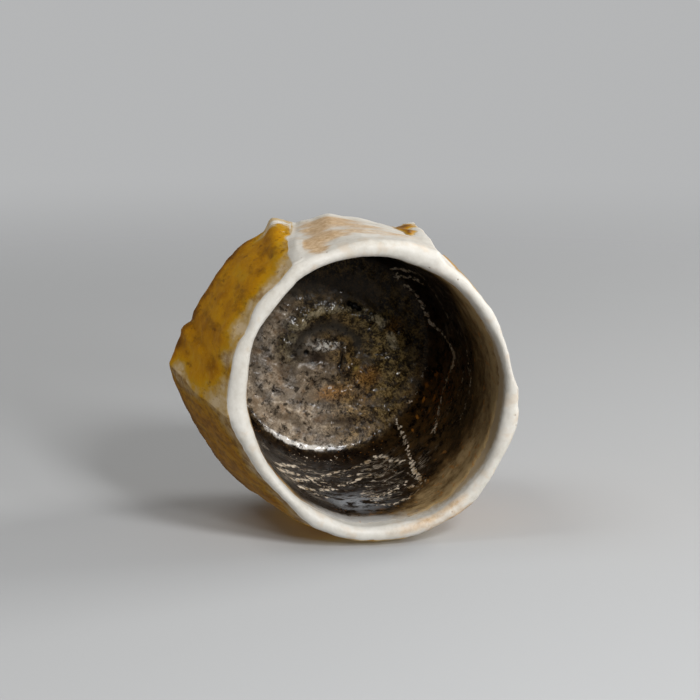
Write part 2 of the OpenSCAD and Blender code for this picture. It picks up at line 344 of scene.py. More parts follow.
def coat(name, rows, top, depth, **marks):
    """A closed coat over rows of the skin: its face is the skin raised by top, its back the skin lowered by depth at
    every fourth row, joined along its two ends, or closed at a point where it ends in the middle of the floor.
    Each mark is a number all over the skin, kept at the coat's vertices."""
    to_middle = rows[-1] == len(skin) - 1
    shown = skin[rows] + out[rows] * top[rows][..., None]
    back_rows = np.unique(np.append(np.arange(0, len(rows), 4), len(rows) - 1))
    back = skin[rows][back_rows] - out[rows][back_rows] * depth
    vertices = np.concatenate([shown.reshape(-1, 3), back.reshape(-1, 3)])
    n, m = len(rows), len(back_rows)
    if to_middle:
        vertices[(n - 1) * columns:n * columns] = shown[-1].mean(0)
        vertices[(n + m - 1) * columns:] = back[-1].mean(0)
    quads = [band(0, n), band(n, m, True)]
    c = np.arange(columns)
    d = (c + 1) % columns
    quads.append(np.stack([n * columns + c, n * columns + d, d, c], -1))
    if not to_middle:
        last, under = (n - 1) * columns, (n + m - 1) * columns
        quads.append(np.stack([last + c, last + d, under + d, under + c], -1))
    kept = [(mark, np.concatenate([v[rows].reshape(-1), v[rows][back_rows].reshape(-1)])) for mark, v in marks.items()]
    piece = closed_piece(name, vertices, np.concatenate(quads), kept)
    if to_middle:
        close_points(piece, (n - 1) * columns, (n + m - 1) * columns)
    return piece


class Socket:
    """One output of a shader node. Sums of sockets add Math nodes, so that masks are written as plain formulas, and
    least and most are the lesser and the greater of two."""

    def __init__(self, tree, link):
        self.tree, self.link = tree, link

    def _math(self, operation, *values):
        """A Math node with that operation on the values."""
        return node(self.tree, "ShaderNodeMath", {"operation": operation}, dict(enumerate(values)))

    def __add__(self, other):
        return self._math("ADD", self, other)

    __radd__ = __add__

    def __sub__(self, other):
        return self._math("SUBTRACT", self, other)

    def __rsub__(self, other):
        return self._math("SUBTRACT", other, self)

    def __mul__(self, other):
        return self._math("MULTIPLY", self, other)

    __rmul__ = __mul__

    def least(self, other):
        return self._math("MINIMUM", self, other)

    def most(self, other):
        return self._math("MAXIMUM", self, other)

    def clear(self, a, b):
        """0 up to a, 1 from b on, smooth between."""
        return node(self.tree, "ShaderNodeMapRange", {"interpolation_type": "SMOOTHSTEP"},
                    {"Value": self, "From Min": a, "From Max": b})

    def near(self, level, a, b):
        """1 within a of a level, 0 further than b from it, smooth between: thin lines round a pattern's patches."""
        return 1 - (self - level).most(level - self).clear(a, b)


def node(tree, kind, settings=None, inputs=None, output=0):
    """A node of that kind, its settings made first and then the values or links of its inputs."""
    made = tree.nodes.new(kind)
    for key, value in (settings or {}).items():
        if key == "stops":
            ramp = made.color_ramp
            while len(ramp.elements) < len(value):
                ramp.elements.new(0.5)
            for element, (at, colour) in zip(ramp.elements, value):
                element.position = at
                element.color = (*colour, 1)
        else:
            setattr(made, key, value)
    for key, value in (inputs or {}).items():
        if isinstance(value, Socket):
            tree.links.new(value.link, made.inputs[key])
        elif isinstance(value, tuple) and len(value) == 3 and made.inputs[key].type == "RGBA":
            made.inputs[key].default_value = (*value, 1)
        else:
            made.inputs[key].default_value = value
    return Socket(tree, made.outputs[output])


class Finish:
    """A material with one glossy shader, and the patterns in millimetres that its colour and relief are built from."""

    def __init__(self, name, **shader):
        """A new material, with the shader's inputs of those names set to fixed values."""
        self.material = bpy.data.materials.new(name)
        self.material.use_nodes = True
        self.tree = self.material.node_tree
        self.shader = self.tree.nodes["Principled BSDF"]
        self.place = node(self.tree, "ShaderNodeTexCoord", output=3)
        for key, value in shader.items():
            self.shader.inputs[key.replace("_", " ")].default_value = value

    def moved(self, seed, stretch=(1, 1, 1), shares=(1, 0.7, 1.3)):
        """The place on the piece in millimetres, stretched, and moved by shares of the seed to another part."""
        location, scale = tuple(seed * s for s in shares), tuple(1000.0 * s for s in stretch)
        return node(self.tree, "ShaderNodeMapping", {}, {"Vector": self.place, "Location": location, "Scale": scale})

    def noise(self, size, detail=3.0, rough=0.55, stretch=(1, 1, 1), seed=0.0, spread=0.0):
        """Cloudy pattern with patches of about that size in millimetres, from 0 to 1."""
        return node(self.tree, "ShaderNodeTexNoise", {}, {"Vector": self.moved(seed, stretch), "Scale": 1 / size,
                                                          "Detail": detail, "Roughness": rough, "Distortion": spread})

    def cells(self, size, seed=0.0):
        """Distance to the nearest of many points spaced about that size in millimetres."""
        return node(self.tree, "ShaderNodeTexVoronoi", {}, {"Vector": self.moved(seed, shares=(1, 0.3, 2.1)),
                                                            "Scale": 1 / size})

    def mark(self, name):
        """The number that the mesh keeps at each vertex under that name."""
        return node(self.tree, "ShaderNodeAttribute", {"attribute_name": name}, output=2)

    def blend(self, share, a, b):
        """Colour a where share is 0 and b where it is 1."""
        return node(self.tree, "ShaderNodeMix", {"data_type": "RGBA"}, {0: share, 6: a, 7: b}, output=2)

    def over(self, share, colour):
        """Lays a colour over the one so far, wholly where share is 1 and not at all where it is 0."""
        self.colour = self.blend(share, self.colour, colour)

    def ramp(self, share, *stops):
        """The colour at a share between stops, each a share and its colour, blended evenly from one to the next."""
        return node(self.tree, "ShaderNodeValToRGB", {"stops": stops}, {0: share})

    def relief(self, *layers):
        """Bump nodes one on another, each a height from 0 to 1 and its real depth in millimetres."""
        normal = None
        for raised, deep in layers:
            inputs = {"Height": raised, "Distance": deep * mm, "Strength": 1.0}
            if normal is not None:
                inputs["Normal"] = normal
            normal = node(self.tree, "ShaderNodeBump", {}, inputs)
        self.tree.links.new(normal.link, self.shader.inputs["Normal"])

    def give(self, **inputs):
        """Joins each socket to the shader's input of that name."""
        for key, value in inputs.items():
            self.tree.links.new(value.link, self.shader.inputs[key.replace("_", " ")])

    def put_on(self, piece, node_name, slot):
        """Finishes a piece with this material, and says which solid it replaces and that it moves with the cup."""
        piece.data.materials.append(self.material)
        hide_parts(node_name)
        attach(piece, "root")


# The slip ends in a wavy line just above the base, and the clay lies lower under it by the slip's thickness.
around = space(30, az, 0)
slip_edge = foot_h + 2.2 + 0.35 * waves(around, 9, 31) + 0.15 * waves(around, 3, 32)
slip_there = smooth(height, slip_edge - 0.25, slip_edge + 0.35)

# The underside is flat, with shallow turned rings.
under_n = 25
under_r = np.linspace(0, 1, under_n + 1)[:-1]
under_rings = 0.12 * np.sin(2 * np.pi * under_r * 22.5 / 3.1)[:, None] * smooth(under_r, 0.02, 0.2)[:, None]
under = space(under_r[:, None] * base_r, az[0], foot_h + under_rings)
body_rows = np.concatenate([np.arange(0, 16), np.arange(16, len(skin) - 1, 3), [len(skin) - 1]])
body_lift = np.where((row < first["upper"])[:, None], -0.42 * slip_there, -0.5)[body_rows]
body_skin = skin[body_rows] + out[body_rows] * body_lift[..., None]
body_skin[0] = space(base_r, az[0], foot_h)
body_grid = np.concatenate([under, body_skin])
n_body = len(body_grid)
body_grid[0] = body_grid[0].mean(0)
body_grid[-1] = body_grid[-1].mean(0)
clay_body = closed_piece("clay_body_thrown", body_grid, band(0, n_body))
close_points(clay_body, 0, (n_body - 1) * columns)


def clay_finish(name):
    """Fired iron-bearing stoneware: warm grey-brown with lighter and rust patches, dark specks, and a sandy feel."""
    f = Finish(name, IOR=1.45)
    cloud = f.noise(7, 4, 0.6)
    grain = f.noise(0.5, 3, 0.7, seed=3.0)
    rusty = f.noise(2.4, 4, 0.65, seed=15.0).clear(0.54, 0.66)
    specks = (1 - f.cells(1.3, seed=5.0).clear(0.08, 0.2)) * f.noise(4, 2, seed=9.0).clear(0.45, 0.6)
    f.colour = f.ramp(cloud * 0.75 + grain * 0.25,
                      (0.36, (0.13, 0.072, 0.04)), (0.5, (0.27, 0.165, 0.1)), (0.64, (0.4, 0.27, 0.175)))
    f.over(rusty * 0.5, (0.3, 0.125, 0.055))
    f.over(specks * 0.85, (0.05, 0.03, 0.018))
    f.give(Base_Color=f.colour, Roughness=0.78 + grain * 0.15)
    f.relief((f.noise(1.6, 3, 0.5, seed=2.0), 0.09), (f.noise(0.45, 2, 0.5, seed=4.0), 0.04), (specks, -0.05))
    return f


clay_finish("bare_clay").put_on(clay_body, "clay_body", "bare_clay")


# The foot ring is trimmed from the clay under the body on the wheel: a low ring with turned lines and worn edges.
# The cup stands on its flat lower face, which is the only place that touches the table.
foot_out = 18.6
foot_in = 15.4
foot_top = 5.3
corner = 0.7


def foot_line():
    """Half of the ring cut through: sides with a sine wave of turned lines, quarter circles below, and a flat foot."""
    side = np.linspace(foot_top, corner, 16)
    quarter = np.linspace(0, np.pi / 2, 7)
    outer = line_of(foot_out + 0.06 * np.sin(side * 5), side)
    outer_turn = line_of(foot_out - corner + corner * np.cos(quarter), corner - corner * np.sin(quarter))[1:]
    face_r = np.linspace(foot_out - corner, foot_in + corner, 7)[1:]
    inner_turn = line_of(foot_in + corner - corner * np.sin(quarter), corner - corner * np.cos(quarter))[1:]
    inner = line_of(foot_in + 0.05 * np.sin(side[::-1] * 4), side[::-1])[1:]
    top_r = np.linspace(foot_in, foot_out, 7)[1:-1]
    return np.concatenate([outer, outer_turn, line_of(face_r, 0), inner_turn, inner, line_of(top_r, foot_top)])


foot_rz = foot_line()
foot_r, foot_z = foot_rz[:, :1], foot_rz[:, 1:]
foot_grid = space(foot_r, np.arange(columns) * 360 / columns, foot_z)
dents = (waves(foot_grid, 8, 41) * 0.1 + waves(foot_grid, 2.5, 42) * 0.05) * smooth(foot_z, 0.0, 0.4)
foot_grid[..., :2] *= (1 + dents / foot_r)[..., None]
foot_grid = foot_grid[::-1]
n_foot = len(foot_grid)
# After the last row of points the faces go on to the first one, so that the ring closes.
foot_ring = closed_piece("foot_ring_trimmed", foot_grid, band(0, n_foot + 1) % (n_foot * columns))
clay_finish("foot_clay").put_on(foot_ring, "foot_ring", "bare_clay")


# The amber ash glaze lies in a pool on each cut face except the white one. It is thick and dark low on the faces and
# at the girth, and thin and pale where it runs off the ridges and towards the lip.
outside_r = 29
white_face = 4
runs = skin * [1, 1, 0.42]
pool_top = (49.1 - 1.8 * smooth(np.abs(turn_off(az, 62)), 95, 120) + 1.05 * toward(139, 19)
            + 0.35 * waves(around, 12, 51) + 0.25 * waves(around, 3.5, 52))
pool_low = 8.8 + 0.9 * waves(around, 7, 53) + 0.4 * waves(around, 2.5, 54)
past_girth = height - girth_z
# amber is the glaze's depth in millimetres, less than none where there is no glaze. It thins towards the lip.
amber = 0.27 - 0.235 * smooth(z_mm, 38, 46.5) + waves(runs, 5.5, 55) * 0.05 + waves(runs, 2.3, 56) * 0.03
# It has run off the ridges, most of all low down, and gathered just above the girth.
bared = (np.where(face == 0, 1.0, 0.6) * bell(ridge_mm, 0, 2.6)
         + 0.5 * np.where(face == 5, 1.0, 0.5) * bell(ridge_mm, 0.2, 1.8))
amber -= 0.125 * bared * (0.85 + 0.9 * smooth(z_mm, 30, 17)) * (0.8 + 0.3 * waves(runs, 4, 57))
amber += 0.15 * bell(past_girth, 1.6, 1.8)
amber -= np.where(face == 5, 0.06, 0.14) * bell(past_girth, 0.1, 0.7) * (0.5 + 0.7 * waves(skin, 5, 58))
amber -= 0.16 * toward(49, 6) * bell(z_mm, 22, 5) + 0.1 * toward(52, 3.5) * smooth(z_mm, 20, 26)
worn_ridge = (((face == 0) & (t < 0.5)) | ((face == 5) & (t > 0.5))) * bell(ridge_mm, 0, 4)
amber = np.maximum(amber, 0.04 * smooth(worn_ridge, 0.2, 0.5))
# It ends at the pool's upper and lower edges, and on the nub's crest.
amber -= 0.42 * smooth(height, pool_top - 0.9, pool_top + 0.4)
amber -= 0.6 * smooth(height, pool_low + 0.7, pool_low - 0.5)
amber -= 0.5 * toward(341, 7.5) * smooth(past_girth, 6.8 + 1.4 * waves(skin, 4, 76), 4.4)
# The white face has none, and its neighbours' pools end in a wavy line before the ridge or just past it.
edge_line = waves(runs, 7, 59) * 0.55 + waves(runs, 3, 60) * 0.2
bare = (face == white_face) * np.where(t < 0.5, 1.0, smooth(ridge_mm + edge_line * 0.35, -0.1, 0.7))
bare = np.maximum(bare, ((face == 3) & (t > 0.5)) * smooth(ridge_mm + edge_line * 2.2, 7.5, 6.2))
bare = np.maximum(bare, ((face == 5) & (t < 0.5)) * smooth(ridge_mm + edge_line * 0.8, 0.35, -0.25))
amber = mix(amber, -0.3, bare)
# One narrow run stands alone by the nub at the white face's other ridge.
patch_mm = np.radians(turn_off(az, 290.0 + 0.32 * (z_mm - 20))) * outside_r + waves(skin, 8, 78) * 0.5
island = (bell(patch_mm, 0, mix(2.0, 0.75, smooth(z_mm, 18, 36))) * smooth(z_mm + waves(skin, 4, 79), 37, 33)
          * smooth(past_girth + waves(skin, 3, 80), 0.8, 2.6))
amber = np.maximum(amber, island * 0.85 - 0.4)
# Painted shade: darker low on the faces, and all over face 0, which turns away from the light.
shade = smooth(z_mm, 27, 16) * np.where(face == 5, 0.3, 0.6) * (1 + 0.8 * waves(skin, 8, 75)) + 1.2 * (face == 0)
amber_glaze = coat("amber_glaze_pools", np.arange(2, first["lip"] + 15), np.clip(amber, -0.22, 0.4) + 0.02, 0.34,
                   thick=amber, shade=shade)

f = Finish("amber_glaze", IOR=1.45, Specular_IOR_Level=0.09)
# Its colour goes with its depth: pale tan, yellow, amber and brown, clouded along the runs, and specked with iron.
thick = (f.mark("thick") * 0.8 + (f.noise(0.9, 4, 0.7, (1, 1, 0.5)) - 0.5) * 0.14
         + (f.noise(4.5, 3, 0.55, (1, 1, 0.4), seed=4.0) - 0.5) * 0.26)
f.colour = f.ramp(thick * 2.5, (0.0, (0.58, 0.44, 0.26)), (0.12, (0.47, 0.315, 0.115)), (0.28, (0.47, 0.245, 0.004)),
                  (0.45, (0.47, 0.215, 0.0)), (0.66, (0.35, 0.145, 0.0)), (0.95, (0.15, 0.052, 0.0)))
dark_spots = f.noise(1.6, 5, 0.72, (1, 1, 0.6), seed=7.0)
painted_shade_mark = f.mark("shade")
f.over(f.noise(3.0, 4, 0.65, (1, 1, 0.35), seed=9.0).clear(0.5, 0.66) * 0.6, (0.19, 0.078, 0.0))
# The painted shade mark adds dark spots and browns the faces low down and all over face 0.
f.over((dark_spots + painted_shade_mark * 0.08).clear(0.58, 0.68) * 0.6, (0.085, 0.03, 0.001))
f.over(f.noise(0.8, 3, 0.7, (1, 1, 0.7), seed=11.0).clear(0.58, 0.7) * 0.4, (0.5, 0.3, 0.04))
f.over(painted_shade_mark.clear(0.0, 1.4) * 0.5, (0.14, 0.06, 0.003))
f.give(Base_Color=f.colour, Roughness=0.28 + f.noise(2.0, 3, seed=1.0) * 0.3)
f.relief((f.noise(2.0, 3, 0.5, (1, 1, 0.6), seed=5.0), 0.12), (f.noise(0.6, 2, 0.5, seed=6.0), 0.04))
f.put_on(amber_glaze, "amber_glaze", "amber_glaze")


# The white slip is brushed on the outside and over the lip, and a little way into the well. It shows on the lip,
# the white face and the ridges, with brown tints where iron has come through, and it ends above the bare clay.
slip_top = np.where(outside, mix(-0.5, 0.0, slip_there), 0.0)
# One full brush stroke stands up along the ridge between the white face and the pool beside it.
past_ridge = ridge_mm * np.where(face == white_face, 1, -1)
by_ridge = ((face == white_face) & (t > 0.5)) | ((face == 5) & (t < 0.5))
stroke = bell(past_ridge, 1.05, 1.35) * by_ridge * bell(z_mm, 38, 10) * outside
slip_top = slip_top + 0.55 * stroke
halo = smooth(amber, -0.26, 0.02) * outside * (1 - smooth(stroke, 0.05, 0.3))
# Tints, each with its direction, height, half width and half height in millimetres, and strength.
tint_spots = [(331, 35, 2.6, 6.5, 1.0), (337.0, 46, 2.2, 2.8, 1.2), (338.5, 40.5, 2.6, 3.4, 1.1),
              (325, 24, 6.0, 6.5, 1.2), (313, 32, 5.0, 5.5, 0.8), (325, 39, 5.5, 2.6, 1.0), (301, 38, 6, 2.5, 0.5),
              (303, 41, 3.6, 4.0, 0.2), (317, 22, 5.0, 3.0, 0.7), (341, 19, 1.6, 2.2, 0.3),
              (170, 49.4, 4.0, 0.9, 0.8), (157, 49.6, 2.5, 0.8, 0.5)]
tints = np.zeros_like(az)
for tint_az, tint_z, wide, tall, strong in tint_spots:
    tints += strong * bell(np.radians(turn_off(az, tint_az)) * outside_r, 0, wide) * bell(z_mm, tint_z, tall)
rust_rim = toward(150, 14) * bell(radius, 28.2, 1.2) * (z_mm > 46)
inward = smooth(in_well, 62.0, 57.5) * (1 - outside) * (0.3 + 0.9 * toward(205, 50) - 0.3 * toward(130, 25))
white_slip = coat("white_slip_brushed", np.arange(2, first["wall"] + 26), slip_top, 0.52, halo=halo,
                  tint=(tints + 0.45 * rust_rim) * (1 - 0.95 * smooth(stroke, 0.1, 0.6)),
                  worn=smooth(z_mm, 12.5, 7.5) * outside, inward=inward)

f = Finish("white_slip", IOR=1.5, Coat_Roughness=0.3)
cloud = f.noise(6, 4, 0.6)
fine = f.noise(1.0, 4, 0.65, seed=3.0)
f.colour = f.ramp(cloud * 0.6 + fine * 0.4,
                  (0.3, (0.54, 0.5, 0.43)), (0.48, (0.655, 0.625, 0.56)), (0.7, (0.74, 0.715, 0.66)))
f.over(f.noise(3.6, 3, 0.6, seed=8.0).clear(0.52, 0.7) * 0.42, (0.6, 0.475, 0.335))
brushed = (f.noise(1.5, 5, 0.7, (0.28, 0.28, 1), seed=2.0, spread=0.2) * 0.6
           + f.noise(3.5, 4, 0.65, (0.6, 0.6, 1), seed=19.0) * 0.4)
tint = f.mark("tint")
f.over((tint * 0.6 + brushed * 2.0 - 0.95).clear(0.1, 0.7) * tint.clear(0.05, 0.6) * 0.85,
       f.ramp(fine, (0.4, (0.47, 0.27, 0.1)), (0.62, (0.66, 0.46, 0.25))))
# The amber pools' edges show a brown halo, the slip's own lower edge is worn, and inside it browns towards the glaze.
f.over((f.mark("halo") * (0.7 + fine * 0.8)).clear(0.1, 0.8) * 0.9, (0.5, 0.36, 0.17))
f.over((f.mark("worn") * (0.4 + fine)).clear(0.2, 1.0) * 0.8, (0.4, 0.29, 0.19))
inside = (f.mark("inward") + (f.noise(1.1, 4, 0.7, seed=14.0) - 0.5) * 0.9).clear(0.25, 0.85)
f.over(inside * 0.9, (0.4, 0.285, 0.15))
pinholes = (1 - f.cells(1.7, seed=4.0).clear(0.05, 0.14)) * f.noise(5, 2, seed=6.0).clear(0.5, 0.62)
f.over(pinholes * 0.75, (0.22, 0.14, 0.08))
f.give(Base_Color=f.colour, Roughness=0.42 + fine * 0.25, Coat_Weight=cloud.clear(0.4, 0.7) * 0.12)
f.relief((f.noise(2.2, 3, 0.5, seed=5.0), 0.1), (f.noise(0.6, 2, 0.5, seed=9.0), 0.03), (pinholes, -0.06))
f.put_on(white_slip, "white_slip", "white_slip")


# The dark iron glaze covers the well from just inside the lip. It is brown-black, and pewter-grey on the floor with
# a painted sheen, rust where it is thin, and pale drips and wavy ash streaks that run round the wall.
well_r = 23.0
wall_mm = np.radians(az) * well_r
well_round = 2 * np.pi * well_r


def strokes(lines, wide):
    """Nearness to lines drawn on the wall, each a list of (direction, way up from the floor's middle): the bell curve
    of the way to the nearest point on any of their straight stretches."""
    near = np.full(az.shape, 1e9)
    for points in lines:
        xs = np.radians([p[0] for p in points]) * well_r
        ys = np.array([p[1] for p in points], float)
        for x0, y0, x1, y1 in zip(xs[:-1], ys[:-1], xs[1:], ys[1:]):
            along_x, along_y = x1 - x0, y1 - y0
            off = wall_mm % well_round - x0 % well_round
            s = np.clip((off * along_x + (in_well - y0) * along_y) / (along_x ** 2 + along_y ** 2), 0, 1)
            near = np.minimum(near, np.hypot(off - s * along_x, in_well - y0 - s * along_y))
    return np.exp(-(near / wide) ** 2)


def on_wall(at, up, wide, tall):
    """A bell curve on the wall: 1 at a direction and a way up, falling off over a width in degrees and a height."""
    return toward(at, wide) * bell(in_well, up, tall)


# Drips that ran down the wall towards the mouth, as beads of pale glaze.
beads = 0.5 + 0.5 * np.cos(2 * np.pi * in_well / 1.5 + 2.0 * waves(skin, 3, 85))
drips = strokes([[(179.5, 21.3), (175.9, 25.7), (172.1, 32.8), (168.9, 38.3), (166.8, 42.6), (166.8, 45.2)]],
                0.62) * (0.45 + 0.75 * beads)
drips += strokes([[(168.6, 38.5), (167, 42), (166.4, 46), (168, 47.5)]], 0.9) * 0.5
drips += strokes([[(241.6, 22.8), (237.7, 24.3), (233.8, 27.2), (230, 30.2), (226, 32.7), (219.7, 31.3), (212.7, 29.8),
                   (203.4, 30.2), (196.7, 31.8), (192.5, 33.2), (188.4, 34.8)]], 0.55) * (1.0 + 0.25 * beads)
drips += 0.8 * strokes([[(226.5, 32.5), (222.5, 32.2)], [(189.6, 34.6), (187.6, 35.2)]], 0.9)
drips *= 0.75 + 0.45 * waves(skin, 0.8, 72)
# Arcs of ash round the upper wall.
arcs = strokes([[(274.4, 21.9), (267.4, 21.7), (258.5, 22), (251.5, 22.5), (244.6, 22.6), (239.9, 22.8)],
                [(278.5, 22.8), (273.1, 25.2), (270.2, 31.4), (264.2, 31.7), (258.2, 31.2), (251.9, 31.5),
                 (246.1, 32.5), (243.7, 33)],
                [(273, 21.5), (266.9, 25.1), (262, 28.5)]], 0.65)
arcs = arcs * (0.8 + 0.5 * waves(skin, 1.8, 73) + 0.6 * waves(skin, 0.8, 74))
arcs = np.maximum(arcs, 0.5 * strokes([[(201.5, 21.6), (196.2, 21.6), (189.7, 21.6)], [(220, 21.5), (209, 21.5)]], 0.8))
arcs = np.maximum(arcs, 0.58 * strokes([[(231.9, 40.2), (225, 40.3), (219.2, 42.6), (212, 42.7), (204.3, 42.4),
                                         (198.9, 42.1)],
                                        [(221, 38), (214.4, 37.9), (209.2, 37.6), (204.6, 37.5)]], 0.6))
# Long wavy runs on the lower wall, with short ones beside them.
by_left = toward(105, 18)
runs_low = strokes([[(98.9, 39.3), (107.3, 33), (112.9, 30.9)],
                    [(97.8, 43.4), (105.8, 38.9), (111.8, 37.3), (119.2, 35.3)],
                    [(106, 43.9), (118.1, 37.4), (130.3, 31.8), (139.4, 29.4), (149.3, 27.9), (157.6, 26.9),
                     (160.8, 28), (162.4, 32.3), (166.4, 35.1)],
                    [(108.1, 47.3), (114.1, 45), (121.7, 42.3), (128.6, 40.5)],
                    [(132, 38.7), (138.9, 37.1), (144.6, 35), (149.2, 34.3)],
                    [(137.2, 33.1), (145.6, 32.7)]], 0.62 + 0.2 * by_left)
runs_low = runs_low * (1 + 0.35 * toward(105, 22))
short_runs = strokes([[(142.6, 46.4), (148.1, 45.2), (153.9, 43.8), (157.8, 43.1)],
                      [(149.8, 51.2), (155.8, 50.1), (163.9, 49.4)], [(152, 55.1), (159.1, 54.3), (165.6, 53.7)],
                      [(148.2, 46.4), (155.1, 44.9), (161, 43.8)], [(141.8, 46.8), (144.3, 49.8), (148.8, 51.4)],
                      [(160.8, 46.7), (167.5, 47.6)]], 1.0)
runs_low = np.maximum(runs_low, 0.6 * short_runs)
runs_low *= 0.72 + 0.35 * waves(skin, 2.2, 82) + 0.45 * waves(skin, 0.9, 83)
# Fine streaks lie where two slow patterns, drawn out round the wall, pass through one level.
warp = waves(skin, 5, 61) * 0.55 + waves(skin, 2, 62) * 0.25
net = waves(np.stack([skin[..., 0] / 3.4, skin[..., 1] / 3.4, in_well], -1), 7.5, 63, 30) + warp * 0.12
net_two = waves(np.stack([skin[..., 0] / 2.6, skin[..., 1] / 2.6, in_well], -1), 5.5, 64, 30) + warp * 0.15
streaks = 0.6 * np.maximum(bell(net, 0.1, 0.09), 0.8 * bell(net_two, -0.1, 0.1))
streaks *= smooth(waves(skin, 9, 65) + 0.25, -0.2, 0.4)
wall_share = smooth(in_well, 24.5, 28.5)
low_side = 0.12 + 0.88 * np.maximum(toward(124, 42), 0.35 * toward(255, 42))
streaks = streaks * wall_share * smooth(in_well, 53, 47) * low_side
ash = np.clip(np.maximum(np.maximum(drips, arcs * 0.85), np.maximum(streaks, runs_low)), 0, 1)

# The glaze ends in a wavy line just inside the lip. It is raised where it has ash, and thin before its end.
glaze_end = (58.6 + 1.2 * toward(45, 60) - 1.6 * toward(215, 45)
             + 0.3 * waves(around, 7, 66) + 0.25 * waves(around, 2.4, 67))
dark_there = smooth(in_well, glaze_end + 0.4, glaze_end - 0.7)
dark = mix(-0.3, 0.16, dark_there) + ash * 0.1 + waves(skin, 1.6, 68) * 0.03
thin_from = np.interp(az % 360, [125, 148, 165, 180, 200, 235, 252, 275, 300],
                      [57.5, 52, 46, 43, 45, 41.5, 40.5, 50, 57.5]) + waves(skin, 6, 84) * 1.2
thin = (0.55 * smooth(in_well, thin_from - 4, np.minimum(thin_from + 6, glaze_end))
        + 0.45 * smooth(in_well, np.minimum(thin_from + 2, glaze_end - 1), glaze_end))

# Where the colours lie. On the floor: pale to the left, partly its own grey and partly a painted sheen, warm to the
# right, olive round the spiral, rust in patches, with painted shade in its hollows and a painted highlight on its lower
# edge.
ember_spots = [(205.1, 23.4), (197.3, 24.3), (180.9, 27.7), (194.4, 27.7), (188, 25.5), (213, 25), (201, 27)]
embers = sum(bell(np.hypot(np.radians(turn_off(az, at)) * well_r, in_well - up), 0, 0.75) for at, up in ember_spots)
low_down, lower_down = smooth(in_well, 22.5, 18), smooth(in_well, 21, 17)
# Pale on the floor's left side: partly its own grey and partly a painted sheen.
pale_and_sheen_side = smooth(floor_x * 0.8 + floor_y * 0.6 + waves(flat, 6, 22) * 1.5, 7.5, -7) * low_down
olive = (np.clip(bell(off_spiral, 9.2, 1.8) * upper_half + 0.8 * smooth(floor_x + 0.3 * floor_y, 4, 9), 0, 1)
         * low_down * (1 - 0.9 * smooth_top))
rust = (spot(13.5, 5, 3.4, 2.6) + spot(8.0, -4.8, 3.6, 2.4) + 0.9 * spot(0.6, -8.2, 3.4, 2.0)
        + 0.5 * spot(-11.5, 7.6, 1.5, 1.0) + 0.5 * spot(-9, -1.5, 1.2, 3) + 0.6 * spot(8, -10, 5, 5)
        + 0.5 * spot(-2, -9.5, 5, 2))
raised = lower_down * bell(off_spiral, 8.8, 1.5) * upper_half * (0.8 + 0.4 * waves(flat, 3.5, 20))
# Painted shade in the bowl, the lower groove, the pits on the left and the crack.
sunk = np.clip(bowl * 1.1 + 0.9 * spot(3, -14.6, 5, 1.1) + 0.8 * spot(-8.6, 1.5, 1.1, 3.6) + crack * 1.2, 0, 1)
# The floor's lower edge: a painted white highlight in the colour, with real gloss and relief there.
edge_highlight_and_gloss = bell(in_well + waves(skin, 3, 77) * 0.2, 20.9, 0.85) * toward(117, 32)
dark_glaze = coat(
    "dark_glaze_well", np.arange(first["lip"] + 12, len(skin)), dark, 0.4,
    ash=ash, thin=thin, light=pale_and_sheen_side, olive=olive, raised=raised, smooth_top=smooth_top, edge=edge_highlight_and_gloss,
    warm=smooth(floor_x + 0.25 * floor_y, -8, 3) * low_down, rust=rust * smooth(in_well, 23, 18),
    sunk=sunk * lower_down, gold=spot(5.5, -3.6, 0.6, 0.4), flat=smooth(in_well, 23.0, 19.0), pit=pit_shade,
    groove=groove * lower_down,
    crest=crest * (0.8 + 0.5 * waves(flat, 1.3, 87)), sparkly=sparkly * smooth(in_well, 22, 18),
    furrow=smooth(turned, -0.1, -0.9) * smooth(in_well, 21, 18),
    streaky=wall_share * smooth(in_well, 52, 46) * np.clip(low_side + 0.1, 0, 1),
    patch=on_wall(134, 47.8, 11, 4.4), rusty=on_wall(204, 31, 30, 11), lace=on_wall(156.5, 34.5, 10.5, 6.8),
    dotted=on_wall(128, 24.3, 34, 2.0), ember=embers * (0.7 + 0.6 * waves(skin, 0.9, 86)),
    bleached=toward(130, 24) * smooth(in_well, 53, 58))

f = Finish("dark_glaze", IOR=1.5, Specular_IOR_Level=0.14, Coat_IOR=1.5, Coat_Roughness=0.13)
grain = f.noise(0.42, 3, 0.7)
blotch = f.noise(1.9, 5, 0.7, seed=2.0)
broad = f.noise(5.0, 3, 0.6, seed=12.0)
fleck = grain * 0.45 + blotch * 0.55
on_flat, warm, ash_there, glaze_thin = f.mark("flat"), f.mark("warm"), f.mark("ash"), f.mark("thin")
# The base is black on the wall and mottled brown on the floor. On the floor's left side it is pale like pewter stone,
# partly its own grey and partly a painted sheen.
f.colour = f.ramp(blotch * 0.6 + grain * 0.4,
                  (0.38, (0.002, 0.001, 0.0006)), (0.5, (0.006, 0.003, 0.0015)), (0.64, (0.034, 0.018, 0.007)))
brown = f.ramp(blotch * 0.5 + grain * 0.3 + broad * 0.2, (0.42, (0.008, 0.004, 0.002)),
               (0.47, (0.05, 0.031, 0.012)), (0.53, (0.13, 0.086, 0.036)), (0.61, (0.4, 0.28, 0.14)))
f.over(on_flat, brown)
stone = f.ramp(grain * 0.22 + blotch * 0.53 + broad * 0.25, (0.4, (0.026, 0.018, 0.011)),
               (0.45, (0.19, 0.142, 0.096)), (0.53, (0.42, 0.332, 0.238)), (0.61, (0.74, 0.63, 0.5)))
stone = f.blend(broad.clear(0.48, 0.58) * 0.6, stone,
                f.ramp(grain, (0.4, (0.045, 0.042, 0.04)), (0.62, (0.22, 0.21, 0.205))))
stone = f.blend(f.noise(3.0, 4, 0.65, seed=23.0).clear(0.52, 0.66) * 0.5, stone, (0.24, 0.135, 0.06))
